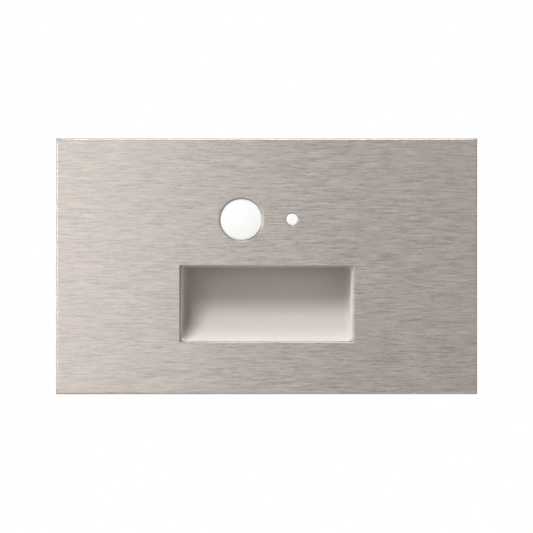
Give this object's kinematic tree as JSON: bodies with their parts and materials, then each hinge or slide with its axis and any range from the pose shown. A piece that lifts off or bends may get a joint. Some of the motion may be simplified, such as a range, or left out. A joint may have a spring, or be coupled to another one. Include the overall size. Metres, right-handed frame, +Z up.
{
  "type": "step light",
  "caption": "Recessed step light with a satin metal faceplate, a scoop that throws its light down, a motion sensor and a daylight sensor, for a horizontal wall box.",
  "frame": {"origin": "middle of the two wall box screw slots, on the wall surface at the strap's back", "axes": "+Z up, the front faces -Y, +X to the viewer's right along the faceplate's length"},
  "size_m": [0.117, 0.05, 0.071],
  "materials": {
    "satin_nickel": "satin, fine level grain",
    "scoop_satin": "smooth satin",
    "lens_white": "milky, satin",
    "pipe_white": "milky, satin",
    "strap_steel": "zinc plated",
    "screw_steel": "zinc plated",
    "magnet_plate": "bright nickel plate",
    "earth_brass": "bright",
    "housing_black": "fine texture",
    "carrier_grey": "fine texture",
    "soft_black": "matt",
    "opal_white": "frosted",
    "led_board_white": "white solder mask",
    "led_phosphor": "yellow phosphor in a white frame",
    "spreader_aluminium": "mill finish",
    "board_green": "green solder mask",
    "chip_black": "moulded",
    "can_metal": "plated can",
    "filter_dark": "dark filter",
    "cell_red": "ceramic disc with a snaking track",
    "trimmer_blue": "moulded",
    "knob_white": "moulded",
    "pin_gold": "plated",
    "ferrite": "sintered",
    "coil_tape": "wrapped tape",
    "capacitor_sleeve": "shrunk sleeve",
    "fuse_brown": "moulded",
    "terminal_green": "moulded",
    "lead_sleeve": "sleeved wire"
  },
  "bodies": {
    "fixture": {"mounting_strap": "strap_steel", "strap_screws": "screw_steel", "earth_screw": "earth_brass", "housing": "housing_black", "rear_cover": "housing_black", "rear_cover_seal": "soft_black", "rear_cover_screws": "screw_steel", "cable_grommet": "soft_black", "front_carrier": "carrier_grey", "scoop_reflector": "scoop_satin", "scoop_screws": "screw_steel", "diffuser_strip": "opal_white", "led_board": "led_board_white", "led_chips": "led_phosphor", "led_heat_spreader": "spreader_aluminium", "led_board_screws": "screw_steel", "led_leads": "lead_sleeve", "pir_lens": "lens_white", "pir_shroud": "knob_white", "pir_sensor_can": "can_metal", "pir_filter_window": "filter_dark", "light_pipe": "pipe_white", "photocell": "cell_red", "sensor_board": "board_green", "sensor_board_chips": "chip_black", "sensor_board_screws": "screw_steel", "time_trimmer_body": "trimmer_blue", "lux_trimmer_body": "trimmer_blue", "mode_switch_body": "can_metal", "board_link_pins": "pin_gold", "link_header": "chip_black", "driver_board": "board_green", "driver_board_screws": "screw_steel", "transformer_core": "ferrite", "transformer_coil": "coil_tape", "driver_capacitors": "capacitor_sleeve", "input_choke": "ferrite", "fuse": "fuse_brown", "driver_chips": "chip_black", "terminal_block": "terminal_green", "terminal_screws": "screw_steel"},
    "cover": {"faceplate": "satin_nickel", "faceplate_magnets": "magnet_plate"},
    "time_knob": {"time_trimmer_knob": "knob_white"},
    "lux_knob": {"lux_trimmer_knob": "knob_white"},
    "mode_lever": {"mode_switch_lever": "knob_white"}
  },
  "joints": [
    {"name": "faceplate_pull", "type": "slide", "parent": "fixture", "child": "cover", "axis": [0, -1, 0], "range_m": [0, 0.03]},
    {"name": "time_trimmer_turn", "type": "hinge", "parent": "fixture", "child": "time_knob", "pos_m": [-0.0209, 0, 0.01305], "axis": [0, -1, 0], "range_deg": [-135, 135]},
    {"name": "lux_trimmer_turn", "type": "hinge", "parent": "fixture", "child": "lux_knob", "pos_m": [0.0163, 0, 0.01305], "axis": [0, -1, 0], "range_deg": [-135, 135]},
    {"name": "mode_switch_slide", "type": "slide", "parent": "fixture", "child": "mode_lever", "axis": [1, 0, 0], "range_m": [-0.002, 0.002]}
  ]
}
